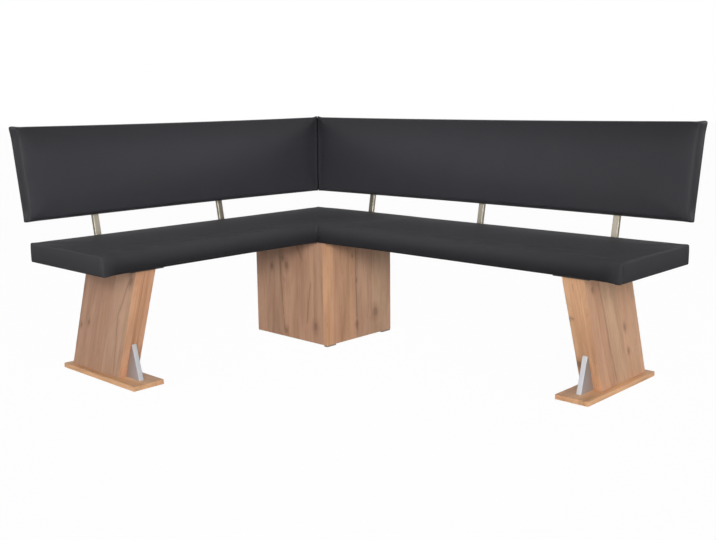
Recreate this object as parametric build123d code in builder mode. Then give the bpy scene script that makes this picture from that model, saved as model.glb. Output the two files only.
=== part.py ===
from build123d import *

import os
from dataclasses import dataclass
from math import cos, radians, sin, sqrt

os.makedirs("parts", exist_ok=True)

# Corner bench with two upholstered wings, in millimetres, +Z up, standing on the floor at z = 0.
# The long wing runs along +X and the short wing along -Y, both from the rear corner of the seat.
# The origin is the middle of the bench's overall footprint.

# Seats: a board in a padded cover
SEAT_HEIGHT = 492  # floor to the seat's upper edges
SEAT_DEPTH = 475
SEAT_LONG = 1795  # rear corner to the long wing's free end
SEAT_SHORT = 1440  # rear corner to the short wing's free end
SEAT_THICKNESS = 67  # underside to the upper edges
SEAT_BOARD = 19
SEAT_WRAP = 8  # padding and cover round the board's edge
SEAT_ROUND = 11  # radius of the padded edges
SEAT_CROWN = 8  # rise of the top above its edges, half way along
SEAT_END_CROWN = 3  # the same rise at the seat's ends
SEAT_DRAW = 3  # how far the long sides draw in between the corners

# Backs: a board, rails and a rear panel in a padded cover, leaning backwards
BACK_GAP = 73  # seat's upper edge to the back's lower front edge
BACK_SETBACK = 20  # back's lower front edge behind the seat's rear edge
BACK_HEIGHT = 343  # along the slope
BACK_THICKNESS = 54
BACK_TILT = 10  # degrees from upright
BACK_END_INSET = 20  # back's free end short of the seat's free end
BACK_BOARD = 12
BACK_RAIL = 40
BACK_REAR_PANEL = 3
BACK_WRAP = 6
BACK_ROUND = 10
BACK_CROWN = 7
BACK_END_CROWN = 3
BACK_DRAW = 3
MITRE_GAP = 0.3
END_STEPS = (0, 0.3, 1)  # shares of a pad end's rounding at which its outline is drawn

# Back supports: bent rectangular tube, its foot under the seat and its upper end inside the back
TUBE_WIDTH = 25
TUBE_DEPTH = 15
TUBE_WALL = 2
TUBE_ROUND = 2.5
TUBE_CLEARANCE = 0.3
BEND_RADIUS = 40
FOOT_REACH = 240  # foot's front end in front of the seat's rear edge
SUPPORT_RISE = 180  # length of tube inside the back
SUPPORT_PITCH = 600
SUPPORT_END_INSET = 286  # last support from the back's free end
LONG_SUPPORT_COUNT = 3
SHORT_SUPPORT_COUNT = 2

# Angle brackets behind the mitre of the two backs
BRACKET_LEG = 60
BRACKET_WIDTH = 50
BRACKET_SHEET = 2
BRACKET_SPACE = 30  # rail to bracket
BRACKET_SCREW_INSET = 12
BRACKET_SCREW_PITCH = 26

# Legs: hollow slanted boxes of wooden panels
LEG_END_INSET = 140  # seat's free end to the leg's outer face
LEG_THICKNESS = 80
LEG_DEPTH = 306
LEG_FRONT_INSET = 24  # leg's upper front edge behind the seat's front edge
LEG_PANEL = 18
LEG_BLOCK = 40  # height of the top and bottom blocks
LEG_SCREW_SPREAD = 180

# Black steel plates between the legs and the seats
MOUNT_PLATE = 4
MOUNT_SIDE_MARGIN = 26
MOUNT_END_MARGIN = 10
MOUNT_SCREW_INSET = 30

# Base plates under the legs, on felt glides
BASE_PLATE = 17
BASE_LENGTH = 462
BASE_REAR_OVERHANG = 28  # behind the leg's lower rear edge
BASE_SIDE_OVERHANG = 22
BASE_GLIDE = 1
BASE_GLIDE_RADIUS = 12
BASE_GLIDE_INSET = 20

# Metal gussets between the base plates and the legs
GUSSET_THICKNESS = 18
GUSSET_LENGTH = 84
GUSSET_HEIGHT = 126
GUSSET_TIP = 4
GUSSET_SCREW_INSET = 24
GUSSET_SCREW_PITCH = 30

# Box under the corner
BOX_WIDTH = 422  # along the long wing
BOX_DEPTH = 384
BOX_BEARING = 42  # reach of the box under the long seat
BOX_FRONT_INSET = 9  # box front behind the seat's front edge
BOX_PANEL = 22
BOX_GLIDE = 6
BOX_GLIDE_LENGTH = 50
BOX_GLIDE_INSET = 2
BATTEN_WIDTH = 60
BATTEN_HEIGHT = 25
BATTEN_SCREW_INSET = 60
CLEAT = 25

# Screws and eased edges
SCREW_RADIUS = 2.5
SCREW_HEAD_RADIUS = 4.8
SCREW_HEAD_HEIGHT = 2.8
SCREW_FIT = 0.1
SCREW_ACCESS = 1  # room round a screw head in a tube's far wall
BOARD_BITE = 10  # screw thread in a back board
SEAT_BITE = 13  # screw thread in a seat board
BLOCK_BITE = 30  # screw thread in a leg block
GUSSET_BITE = 20
FOOT_SCREWS = (55, 200)  # in front of the seat's rear edge
BACK_SCREWS = (70, 150)  # up the back's slope
WOOD_EASE = 0.6
GUSSET_EASE = 0.8

# Heights and depths that follow from the sizes above
UP = Vector(0, 0, 1)
TILT = radians(BACK_TILT)
SEAT_UNDERSIDE = SEAT_HEIGHT - SEAT_THICKNESS
BACK_FOOT = SEAT_HEIGHT + BACK_GAP
BACK_REACH = BACK_SETBACK + BACK_HEIGHT * sin(TILT) + BACK_THICKNESS * cos(TILT)
BOARD_REAR = BACK_REAR_PANEL + TUBE_CLEARANCE + TUBE_DEPTH - BACK_THICKNESS
BOARD_FRONT = BOARD_REAR + BACK_BOARD
PANEL_FRONT = BACK_REAR_PANEL - BACK_THICKNESS
BASE_TOP = BASE_GLIDE + BASE_PLATE
LEG_TOP = SEAT_UNDERSIDE - MOUNT_PLATE
LEG_LEAN = SEAT_DEPTH - LEG_FRONT_INSET - LEG_DEPTH  # forward shift from the foot to the top
BOX_LEFT = SEAT_DEPTH + BOX_BEARING - BOX_WIDTH
BOX_RIGHT = BOX_LEFT + BOX_WIDTH
BOX_FRONT = SEAT_DEPTH - BOX_FRONT_INSET
BOX_REAR = BOX_FRONT - BOX_DEPTH
CORNER = Vector((BACK_REACH - SEAT_LONG) / 2, (SEAT_SHORT - BACK_REACH) / 2, 0)
MITRE = Plane(CORNER, z_dir=(1, 1, 0))
BASE = (Align.CENTER, Align.CENTER, Align.MIN)


@dataclass
class Wing:
    """One wing of the bench, with places measured from the rear corner of the seat."""

    name: str
    along: Vector
    front: Vector
    length: float
    seat_start: float
    support_count: int
    mitre_side: int

    def at(self, along, forward, height):
        return CORNER + self.along * along + self.front * forward + UP * height

    def section(self, along):
        """Upright cross-section: x runs forward from the seat's rear edge, y runs up."""
        return Plane(self.at(along, 0, 0), x_dir=self.front, z_dir=self.front.cross(UP))

    def back_normal(self):
        return self.front * cos(TILT) + UP * sin(TILT)

    def back_section(self, along):
        """Cross-section of the leaning back: x runs out of its front face, y runs up its slope."""
        foot = self.at(along, -BACK_SETBACK, BACK_FOOT)
        return Plane(foot, x_dir=self.back_normal(), z_dir=self.front.cross(UP))

    def on_back_board(self, along, rise):
        """A spot on the rear of the back board, facing forward into the board."""
        spot = self.back_section(along).from_local_coords((BOARD_REAR, rise, 0))
        return Plane(spot, z_dir=self.back_normal())

    def back_end(self):
        return self.length - BACK_END_INSET

    def supports(self):
        last = self.back_end() - SUPPORT_END_INSET
        return [last - step * SUPPORT_PITCH for step in range(self.support_count)]

    def leg_middle(self):
        return self.length - LEG_END_INSET - LEG_THICKNESS / 2

    def cut_mitre(self, gap=MITRE_GAP):
        """Keep this wing's side of the mitre between the two backs."""
        keep = Keep.TOP if self.mitre_side > 0 else Keep.BOTTOM
        split(bisect_by=MITRE.offset(self.mitre_side * gap / 2), keep=keep)


LONG = Wing("long", Vector(1, 0, 0), Vector(0, -1, 0), SEAT_LONG, SEAT_DEPTH, LONG_SUPPORT_COUNT, 1)
SHORT = Wing("short", Vector(0, -1, 0), Vector(1, 0, 0), SEAT_SHORT, 0, SHORT_SUPPORT_COUNT, -1)
WINGS = (LONG, SHORT)


def save(piece, name):
    piece.part.label = name
    export_step(piece.part, f"parts/{name}.step")


def slab(wing, plane, length, low, high, mode=Mode.ADD):
    """A straight block: the rectangle low to high on the plane, drawn out along the wing."""
    with BuildSketch(plane) as face:
        with Locations(((low[0] + high[0]) / 2, (low[1] + high[1]) / 2)):
            Rectangle(high[0] - low[0], high[1] - low[1])
    extrude(face.sketch, amount=length, dir=wing.along, mode=mode)


def slanted(wing, plane, length, corners):
    """A block of any straight-sided outline on the plane, drawn out along the wing."""
    with BuildSketch(plane) as face:
        with BuildLine():
            Polyline(*corners, close=True)
        make_face()
    extrude(face.sketch, amount=length, dir=wing.along)


def flat_screws(places, length):
    """Countersunk screws: each place is the head's face, its normal the way the screw is driven."""
    with Locations(*places):
        Cylinder(SCREW_RADIUS, length, align=BASE)
        Cone(SCREW_HEAD_RADIUS, SCREW_RADIUS, SCREW_HEAD_HEIGHT, align=BASE)


def flat_holes(places, length):
    """Holes for countersunk screws, in every piece that they pass through."""
    with Locations(*places):
        Cylinder(SCREW_RADIUS + SCREW_FIT, length + SCREW_FIT, align=BASE, mode=Mode.SUBTRACT)
        Cone(
            SCREW_HEAD_RADIUS + SCREW_FIT,
            SCREW_RADIUS + SCREW_FIT,
            SCREW_HEAD_HEIGHT,
            align=BASE,
            mode=Mode.SUBTRACT,
        )


def pan_screws(places, sheet, bite):
    """Pan-head screws: each place is where the sheet meets the board that the screw bites into."""
    for place in places:
        with Locations(place.offset(-sheet)):
            Cylinder(SCREW_RADIUS, sheet + bite, align=BASE)
        with Locations(place.offset(-sheet - SCREW_HEAD_HEIGHT)):
            Cylinder(SCREW_HEAD_RADIUS, SCREW_HEAD_HEIGHT, align=BASE)


def pan_holes(places, sheet, bite):
    """Holes for the shanks of pan-head screws, in the sheet and in the board."""
    with Locations(*[place.offset(-sheet) for place in places]):
        Cylinder(SCREW_RADIUS + SCREW_FIT, sheet + bite + SCREW_FIT, align=BASE, mode=Mode.SUBTRACT)


def access_holes(places):
    """Holes in a support tube's far wall, through which a screw head goes in."""
    with Locations(*[place.offset(-TUBE_DEPTH) for place in places]):
        Cylinder(SCREW_HEAD_RADIUS + SCREW_ACCESS, TUBE_WALL, align=BASE, mode=Mode.SUBTRACT)


def foot_places(wing, along):
    return [Plane(wing.at(along, forward, SEAT_UNDERSIDE), z_dir=UP) for forward in FOOT_SCREWS]


def back_places(wing, along):
    """Spots on the rear of the back board where a support is screwed to it."""
    return [wing.on_back_board(along, rise) for rise in BACK_SCREWS]


def mount_span():
    """Depth that a mounting plate covers, from its rear end to its front end."""
    return LEG_LEAN - MOUNT_END_MARGIN, LEG_LEAN + LEG_DEPTH + MOUNT_END_MARGIN


def mount_places(wing):
    rear, front = mount_span()
    side = (LEG_THICKNESS + MOUNT_SIDE_MARGIN) / 2
    return [
        Plane(wing.at(wing.leg_middle() + step * side, forward, LEG_TOP), z_dir=UP)
        for step in (-1, 1)
        for forward in (rear + MOUNT_SCREW_INSET, front - MOUNT_SCREW_INSET)
    ]


def leg_places(wing, middle, height, way):
    """Screws on the leg's centre plane, either side of the middle of its depth."""
    return [
        Plane(wing.at(wing.leg_middle(), middle + step * LEG_SCREW_SPREAD / 2, height), z_dir=way)
        for step in (-1, 1)
    ]


def leg_top_places(wing):
    return leg_places(wing, LEG_LEAN + LEG_DEPTH / 2, SEAT_UNDERSIDE, -UP)


def base_places(wing):
    return leg_places(wing, LEG_DEPTH / 2, BASE_GLIDE, UP)


def gusset_places(wing):
    first = LEG_DEPTH + GUSSET_SCREW_INSET
    return [
        Plane(wing.at(wing.leg_middle(), forward, BASE_GLIDE), z_dir=UP)
        for forward in (first, first + GUSSET_SCREW_PITCH)
    ]


def batten_places():
    """Screws up through the box's battens: one row in the long seat, two rows in the short seat."""
    right = BOX_RIGHT - BOX_PANEL
    in_long_seat = (SEAT_DEPTH + SEAT_WRAP + right) / 2
    in_short_seat = (SEAT_DEPTH - SEAT_WRAP + right - BATTEN_WIDTH) / 2
    on_left = BOX_LEFT + BOX_PANEL + BATTEN_WIDTH / 2
    rear = BOX_REAR + BOX_PANEL + BATTEN_SCREW_INSET
    front = BOX_FRONT - BOX_PANEL - BATTEN_SCREW_INSET
    return [
        Plane(LONG.at(along, forward, SEAT_UNDERSIDE - BATTEN_HEIGHT), z_dir=UP)
        for along in (on_left, in_short_seat, in_long_seat)
        for forward in (rear, front)
    ]


def bracket_rises():
    """Middles of the two angle brackets, up the back's slope."""
    margin = BACK_WRAP + BACK_RAIL + BRACKET_SPACE + BRACKET_WIDTH / 2
    return margin, BACK_HEIGHT - margin


def bracket_end(rise):
    """How far a bracket's leg reaches along the wing."""
    depth_at_rise = BACK_SETBACK - BOARD_REAR * cos(TILT) + rise * sin(TILT)
    return BRACKET_LEG - depth_at_rise


def bracket_places(wing):
    return [
        wing.on_back_board(bracket_end(rise) - BRACKET_SCREW_INSET, rise + step * BRACKET_SCREW_PITCH / 2)
        for rise in bracket_rises()
        for step in (-1, 1)
    ]


def seat_outline(wing, along, crown, draw, inset):
    """Seat pad's cross-section: flat below, rounded upper edges, arched top."""
    rear = draw + inset
    front = SEAT_DEPTH - draw - inset
    top = SEAT_HEIGHT - inset
    shoulder = top - SEAT_ROUND
    with BuildSketch(wing.section(along)) as outline:
        with BuildLine():
            Line((rear, SEAT_UNDERSIDE), (front, SEAT_UNDERSIDE))
            Line((front, SEAT_UNDERSIDE), (front, shoulder))
            CenterArc((front - SEAT_ROUND, shoulder), SEAT_ROUND, 0, 90)
            ThreePointArc(
                (front - SEAT_ROUND, top),
                ((front + rear) / 2, top + crown),
                (rear + SEAT_ROUND, top),
            )
            CenterArc((rear + SEAT_ROUND, shoulder), SEAT_ROUND, 90, 90)
            Line((rear, shoulder), (rear, SEAT_UNDERSIDE))
        make_face()
    return outline.sketch


def back_outline(wing, along, crown, draw, inset):
    """Back pad's cross-section: flat behind, rounded front edges, arched front."""
    low = draw + inset
    high = BACK_HEIGHT - draw - inset
    face = -inset
    shoulder = face - BACK_ROUND
    with BuildSketch(wing.back_section(along)) as outline:
        with BuildLine():
            Line((-BACK_THICKNESS, low), (shoulder, low))
            CenterArc((shoulder, low + BACK_ROUND), BACK_ROUND, 270, 90)
            ThreePointArc(
                (face, low + BACK_ROUND),
                (face + crown, (low + high) / 2),
                (face, high - BACK_ROUND),
            )
            CenterArc((shoulder, high - BACK_ROUND), BACK_ROUND, 0, 90)
            Line((shoulder, high), (-BACK_THICKNESS, high))
            Line((-BACK_THICKNESS, high), (-BACK_THICKNESS, low))
        make_face()
    return outline.sketch


def rounded_end(outline, wing, end, inward, crown, radius):
    """Close a pad with a rounded end face at the given place along its wing."""
    outlines = []
    for share in END_STEPS:
        inset = radius * (1 - sqrt(1 - (1 - share) ** 2))
        outlines.append(outline(wing, end + inward * share * radius, crown, 0, inset))
    loft(outlines, ruled=True)


def pad(outline, wing, start, end, crown, end_crown, draw):
    """The crowned length of a pad, its sides drawn in half way along."""
    outlines = [
        outline(wing, start, end_crown, 0, 0),
        outline(wing, (start + end) / 2, crown, draw, 0),
        outline(wing, end, end_crown, 0, 0),
    ]
    loft(outlines)


# Seats
seat_foot_places = [
    place
    for wing in WINGS
    for along in wing.supports()
    for place in foot_places(wing, along)
]
seat_mount_places = [place for wing in WINGS for place in mount_places(wing)]

for wing in WINGS:
    start = wing.seat_start
    board_start = start + SEAT_WRAP
    board_length = wing.length - SEAT_WRAP - board_start
    board_low = (SEAT_WRAP, SEAT_UNDERSIDE)
    board_high = (SEAT_DEPTH - SEAT_WRAP, SEAT_UNDERSIDE + SEAT_BOARD)

    with BuildPart() as seat_board:
        slab(wing, wing.section(board_start), board_length, board_low, board_high)
        pan_holes(seat_foot_places, 0, SEAT_BITE)
        flat_holes(seat_mount_places, MOUNT_PLATE + SEAT_BITE)
        flat_holes(batten_places(), BATTEN_HEIGHT + SEAT_BITE)
    save(seat_board, f"{wing.name}_seat_board")

    with BuildPart() as seat_cushion:
        rounded_end(seat_outline, wing, start, 1, SEAT_END_CROWN, SEAT_ROUND)
        full_start = start + SEAT_ROUND
        full_end = wing.length - SEAT_ROUND
        pad(seat_outline, wing, full_start, full_end, SEAT_CROWN, SEAT_END_CROWN, SEAT_DRAW)
        rounded_end(seat_outline, wing, wing.length, -1, SEAT_END_CROWN, SEAT_ROUND)
        slab(wing, wing.section(board_start), board_length, board_low, board_high, Mode.SUBTRACT)
    save(seat_cushion, f"{wing.name}_seat_cushion")

# Backs
for wing in WINGS:
    start = -BACK_REACH - BACK_ROUND
    end = wing.back_end()
    core_length = end - BACK_WRAP - start
    top = BACK_HEIGHT - BACK_WRAP

    with BuildPart() as back_board:
        slab(wing, wing.back_section(start), core_length, (BOARD_REAR, BACK_WRAP), (BOARD_FRONT, top))
        for along in wing.supports():
            pan_holes(back_places(wing, along), 0, BOARD_BITE)
        pan_holes(bracket_places(wing), 0, BOARD_BITE)
        wing.cut_mitre()
    save(back_board, f"{wing.name}_back_board")

    with BuildPart() as back_rails:
        for low in (BACK_WRAP, top - BACK_RAIL):
            high = low + BACK_RAIL
            slab(wing, wing.back_section(start), core_length, (PANEL_FRONT, low), (BOARD_REAR, high))
        for along in wing.supports():
            slot_start = along - TUBE_WIDTH / 2 - TUBE_CLEARANCE
            slot_width = TUBE_WIDTH + 2 * TUBE_CLEARANCE
            slab(
                wing,
                wing.back_section(slot_start),
                slot_width,
                (PANEL_FRONT, 0),
                (BOARD_REAR, SUPPORT_RISE + TUBE_CLEARANCE),
                Mode.SUBTRACT,
            )
        wing.cut_mitre()
    save(back_rails, f"{wing.name}_back_rails")

    with BuildPart() as back_rear_panel:
        slab(wing, wing.back_section(start), core_length, (-BACK_THICKNESS, BACK_WRAP), (PANEL_FRONT, top))
        wing.cut_mitre()
    save(back_rear_panel, f"{wing.name}_back_rear_panel")

    with BuildPart() as back_cushion:
        pad(back_outline, wing, start, end - BACK_ROUND, BACK_CROWN, BACK_END_CROWN, BACK_DRAW)
        rounded_end(back_outline, wing, end, -1, BACK_END_CROWN, BACK_ROUND)
        slab(
            wing,
            wing.back_section(start),
            core_length,
            (-BACK_THICKNESS, BACK_WRAP),
            (BOARD_FRONT, top),
            Mode.SUBTRACT,
        )
        for along in wing.supports():
            slot_start = along - TUBE_WIDTH / 2 - TUBE_CLEARANCE
            slot_width = TUBE_WIDTH + 2 * TUBE_CLEARANCE
            slab(
                wing,
                wing.back_section(slot_start),
                slot_width,
                (PANEL_FRONT, 0),
                (BOARD_REAR + TUBE_CLEARANCE, BACK_WRAP),
                Mode.SUBTRACT,
            )
        wing.cut_mitre()
    save(back_cushion, f"{wing.name}_back_cushion")

# Angle brackets behind the mitre, one half on each back board
bracket_halves = []
for wing in WINGS:
    with BuildPart() as bracket_half:
        for rise in bracket_rises():
            slab(
                wing,
                wing.back_section(-BACK_REACH),
                BACK_REACH + bracket_end(rise),
                (BOARD_REAR - BRACKET_SHEET, rise - BRACKET_WIDTH / 2),
                (BOARD_REAR, rise + BRACKET_WIDTH / 2),
            )
        pan_holes(bracket_places(wing), BRACKET_SHEET, BOARD_BITE)
        wing.cut_mitre(gap=0)
    bracket_halves.append(bracket_half.part)

with BuildPart() as back_corner_brackets:
    for half in bracket_halves:
        add(half)
save(back_corner_brackets, "back_corner_brackets")

# Back supports
foot_height = SEAT_UNDERSIDE - TUBE_DEPTH / 2
tube_line = BOARD_REAR - TUBE_DEPTH / 2
bend_rise = (foot_height - BACK_FOOT - tube_line * sin(TILT)) / cos(TILT)
bend_forward = tube_line * cos(TILT) - bend_rise * sin(TILT) - BACK_SETBACK
tip_height = BACK_FOOT + tube_line * sin(TILT) + SUPPORT_RISE * cos(TILT)
tip_forward = tube_line * cos(TILT) - SUPPORT_RISE * sin(TILT) - BACK_SETBACK

for wing in WINGS:
    for number, along in enumerate(reversed(wing.supports()), start=1):
        with BuildPart() as back_support:
            with BuildLine(wing.section(along)):
                FilletPolyline(
                    (FOOT_REACH, foot_height),
                    (bend_forward, foot_height),
                    (tip_forward, tip_height),
                    radius=BEND_RADIUS,
                )
            foot_end = wing.at(along, FOOT_REACH, foot_height)
            with BuildSketch(Plane(foot_end, x_dir=wing.along, z_dir=-wing.front)):
                RectangleRounded(TUBE_WIDTH, TUBE_DEPTH, TUBE_ROUND)
                Rectangle(TUBE_WIDTH - 2 * TUBE_WALL, TUBE_DEPTH - 2 * TUBE_WALL, mode=Mode.SUBTRACT)
            sweep()
            spots = foot_places(wing, along) + back_places(wing, along)
            pan_holes(spots, TUBE_WALL, 0)
            access_holes(spots)
        save(back_support, f"{wing.name}_back_support_{number}")


# Legs
def leg_corners(rear, front, low, high):
    """Outline of a slanted leg piece between two depths at the foot and two heights."""
    lean = LEG_LEAN / (LEG_TOP - BASE_TOP)
    low_shift = (low - BASE_TOP) * lean
    high_shift = (high - BASE_TOP) * lean
    return (
        (rear + low_shift, low),
        (front + low_shift, low),
        (front + high_shift, high),
        (rear + high_shift, high),
    )


# Depth of a leg's front and rear strips, measured level across their slant.
strip_depth = LEG_PANEL * sqrt(1 + (LEG_LEAN / (LEG_TOP - BASE_TOP)) ** 2)
strips = {"front_strip": (LEG_DEPTH - strip_depth, LEG_DEPTH), "rear_strip": (0, strip_depth)}
blocks = {"top_block": (LEG_TOP - LEG_BLOCK, LEG_TOP), "bottom_block": (BASE_TOP, BASE_TOP + LEG_BLOCK)}

for wing in WINGS:
    inner = wing.leg_middle() - LEG_THICKNESS / 2
    hollow = inner + LEG_PANEL
    hollow_width = LEG_THICKNESS - 2 * LEG_PANEL
    sides = {"inner_side": inner, "outer_side": hollow + hollow_width}

    for name, along in sides.items():
        with BuildPart() as leg_side:
            slanted(wing, wing.section(along), LEG_PANEL, leg_corners(0, LEG_DEPTH, BASE_TOP, LEG_TOP))
            chamfer(leg_side.edges(), WOOD_EASE)
        save(leg_side, f"{wing.name}_leg_{name}")

    for name, (rear, front) in strips.items():
        with BuildPart() as leg_strip:
            slanted(wing, wing.section(hollow), hollow_width, leg_corners(rear, front, BASE_TOP, LEG_TOP))
            chamfer(leg_strip.edges(), WOOD_EASE)
        save(leg_strip, f"{wing.name}_leg_{name}")

    for name, (low, high) in blocks.items():
        with BuildPart() as leg_block:
            corners = leg_corners(strip_depth, LEG_DEPTH - strip_depth, low, high)
            slanted(wing, wing.section(hollow), hollow_width, corners)
            flat_holes(leg_top_places(wing), MOUNT_PLATE + BLOCK_BITE)
            flat_holes(base_places(wing), BASE_PLATE + BLOCK_BITE)
        save(leg_block, f"{wing.name}_leg_{name}")

    with BuildPart() as mounting_plate:
        plate_rear, plate_front = mount_span()
        slab(
            wing,
            wing.section(inner - MOUNT_SIDE_MARGIN),
            LEG_THICKNESS + 2 * MOUNT_SIDE_MARGIN,
            (plate_rear, LEG_TOP),
            (plate_front, SEAT_UNDERSIDE),
        )
        flat_holes(mount_places(wing), MOUNT_PLATE)
        flat_holes(leg_top_places(wing), MOUNT_PLATE)
    save(mounting_plate, f"{wing.name}_mounting_plate")

    base_start = inner - BASE_SIDE_OVERHANG
    base_width = LEG_THICKNESS + 2 * BASE_SIDE_OVERHANG
    base_front = BASE_LENGTH - BASE_REAR_OVERHANG
    with BuildPart() as base_plate:
        base_low = (-BASE_REAR_OVERHANG, BASE_GLIDE)
        slab(wing, wing.section(base_start), base_width, base_low, (base_front, BASE_TOP))
        chamfer(base_plate.edges(), WOOD_EASE)
        flat_holes(base_places(wing), BASE_PLATE)
        flat_holes(gusset_places(wing), BASE_PLATE)
    save(base_plate, f"{wing.name}_base_plate")

    with BuildPart() as base_glides:
        for along in (base_start + BASE_GLIDE_INSET, base_start + base_width - BASE_GLIDE_INSET):
            for forward in (BASE_GLIDE_INSET - BASE_REAR_OVERHANG, base_front - BASE_GLIDE_INSET):
                with Locations(wing.at(along, forward, 0)):
                    Cylinder(BASE_GLIDE_RADIUS, BASE_GLIDE, align=BASE)
    save(base_glides, f"{wing.name}_base_glides")

    with BuildPart() as gusset:
        gusset_top = BASE_TOP + GUSSET_HEIGHT
        leg_foot, leg_face = leg_corners(LEG_DEPTH, LEG_DEPTH, BASE_TOP, gusset_top)[1:3]
        outline = (
            leg_foot,
            (leg_foot[0] + GUSSET_LENGTH, BASE_TOP),
            (leg_face[0] + GUSSET_TIP, gusset_top),
            leg_face,
        )
        slanted(wing, wing.section(wing.leg_middle() - GUSSET_THICKNESS / 2), GUSSET_THICKNESS, outline)
        chamfer(gusset.edges(), GUSSET_EASE)
        flat_holes(gusset_places(wing), BASE_PLATE + GUSSET_BITE)
    save(gusset, f"{wing.name}_leg_gusset")

# Box under the corner, placed along the long wing
box_panels = {
    "right": (BOX_RIGHT - BOX_PANEL, BOX_RIGHT, BOX_REAR, BOX_FRONT),
    "front": (BOX_LEFT, BOX_RIGHT - BOX_PANEL, BOX_FRONT - BOX_PANEL, BOX_FRONT),
    "left": (BOX_LEFT, BOX_LEFT + BOX_PANEL, BOX_REAR, BOX_FRONT - BOX_PANEL),
    "rear": (BOX_LEFT + BOX_PANEL, BOX_RIGHT - BOX_PANEL, BOX_REAR, BOX_REAR + BOX_PANEL),
}
inner_left = BOX_LEFT + BOX_PANEL
inner_right = BOX_RIGHT - BOX_PANEL
inner_rear = BOX_REAR + BOX_PANEL
inner_front = BOX_FRONT - BOX_PANEL
batten_foot = SEAT_UNDERSIDE - BATTEN_HEIGHT


def foot_channels():
    """Room for the feet of the back supports where they pass through the box."""
    for wing in WINGS:
        for along in wing.supports():
            slab(
                wing,
                wing.section(along - TUBE_WIDTH / 2 - TUBE_CLEARANCE),
                TUBE_WIDTH + 2 * TUBE_CLEARANCE,
                (0, SEAT_UNDERSIDE - TUBE_DEPTH - TUBE_CLEARANCE),
                (FOOT_REACH + TUBE_CLEARANCE, SEAT_UNDERSIDE),
                Mode.SUBTRACT,
            )


for name, (left, right, rear, front) in box_panels.items():
    with BuildPart() as box_panel:
        slab(LONG, LONG.section(left), right - left, (rear, BOX_GLIDE), (front, SEAT_UNDERSIDE))
        chamfer(box_panel.edges(), WOOD_EASE)
        foot_channels()
    save(box_panel, f"box_{name}_panel")

with BuildPart() as box_battens:
    for left in (inner_left, inner_right - BATTEN_WIDTH):
        slab(LONG, LONG.section(left), BATTEN_WIDTH, (inner_rear, batten_foot), (inner_front, SEAT_UNDERSIDE))
    foot_channels()
    flat_holes(batten_places(), BATTEN_HEIGHT)
save(box_battens, "box_battens")

with BuildPart() as box_cleats:
    for left in (inner_left, inner_right - CLEAT):
        for rear in (inner_rear, inner_front - CLEAT):
            slab(LONG, LONG.section(left), CLEAT, (rear, BOX_GLIDE), (rear + CLEAT, batten_foot))
save(box_cleats, "box_cleats")

with BuildPart() as box_glides:
    glide_width = BOX_PANEL - 2 * BOX_GLIDE_INSET
    for side in ("left", "right"):
        left, right, rear, front = box_panels[side]
        for near in (rear + BOX_GLIDE_INSET, front - BOX_GLIDE_INSET - BOX_GLIDE_LENGTH):
            plane = LONG.section(left + BOX_GLIDE_INSET)
            slab(LONG, plane, glide_width, (near, 0), (near + BOX_GLIDE_LENGTH, BOX_GLIDE))
save(box_glides, "box_glides")

# Screws, one node for each set
with BuildPart() as support_foot_screws:
    pan_screws(seat_foot_places, TUBE_WALL, SEAT_BITE)
save(support_foot_screws, "support_foot_screws")

with BuildPart() as support_back_screws:
    for wing in WINGS:
        for along in wing.supports():
            pan_screws(back_places(wing, along), TUBE_WALL, BOARD_BITE)
save(support_back_screws, "support_back_screws")

with BuildPart() as corner_bracket_screws:
    for wing in WINGS:
        pan_screws(bracket_places(wing), BRACKET_SHEET, BOARD_BITE)
save(corner_bracket_screws, "corner_bracket_screws")

with BuildPart() as mounting_plate_screws:
    flat_screws(seat_mount_places, MOUNT_PLATE + SEAT_BITE)
save(mounting_plate_screws, "mounting_plate_screws")

with BuildPart() as leg_top_screws:
    for wing in WINGS:
        flat_screws(leg_top_places(wing), MOUNT_PLATE + BLOCK_BITE)
save(leg_top_screws, "leg_top_screws")

with BuildPart() as base_plate_screws:
    for wing in WINGS:
        flat_screws(base_places(wing), BASE_PLATE + BLOCK_BITE)
save(base_plate_screws, "base_plate_screws")

with BuildPart() as gusset_screws:
    for wing in WINGS:
        flat_screws(gusset_places(wing), BASE_PLATE + GUSSET_BITE)
save(gusset_screws, "gusset_screws")

with BuildPart() as batten_screws:
    flat_screws(batten_places(), BATTEN_HEIGHT + SEAT_BITE)
save(batten_screws, "batten_screws")
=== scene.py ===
from math import cos, pi, radians, sin, sqrt

import bmesh
import bpy
from mathutils import Matrix, Vector, noise


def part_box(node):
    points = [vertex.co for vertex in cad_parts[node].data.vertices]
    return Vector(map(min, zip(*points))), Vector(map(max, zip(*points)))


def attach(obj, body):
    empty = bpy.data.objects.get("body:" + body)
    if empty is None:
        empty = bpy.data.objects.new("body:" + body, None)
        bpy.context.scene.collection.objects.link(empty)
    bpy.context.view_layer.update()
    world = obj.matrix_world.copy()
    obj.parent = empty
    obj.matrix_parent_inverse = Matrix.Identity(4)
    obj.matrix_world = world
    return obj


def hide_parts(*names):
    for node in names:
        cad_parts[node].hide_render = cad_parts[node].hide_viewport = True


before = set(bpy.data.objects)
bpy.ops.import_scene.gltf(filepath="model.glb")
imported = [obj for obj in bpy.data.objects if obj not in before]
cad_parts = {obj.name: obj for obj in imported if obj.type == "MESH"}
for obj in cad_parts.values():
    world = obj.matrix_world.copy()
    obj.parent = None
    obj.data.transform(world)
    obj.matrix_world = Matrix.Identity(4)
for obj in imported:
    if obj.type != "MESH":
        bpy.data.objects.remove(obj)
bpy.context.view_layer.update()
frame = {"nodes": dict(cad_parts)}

# Corner bench in metres, +Z up. Places along a wing are measured from the seat's rear corner.

nodes = frame["nodes"]

UP = Vector((0, 0, 1))
seat_low, seat_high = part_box("short_seat_cushion")
CORNER = Vector((seat_low.x, seat_high.y, 0))
SEAT_DEPTH = seat_high.x - seat_low.x
SEAT_UNDERSIDE = seat_low.z

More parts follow.
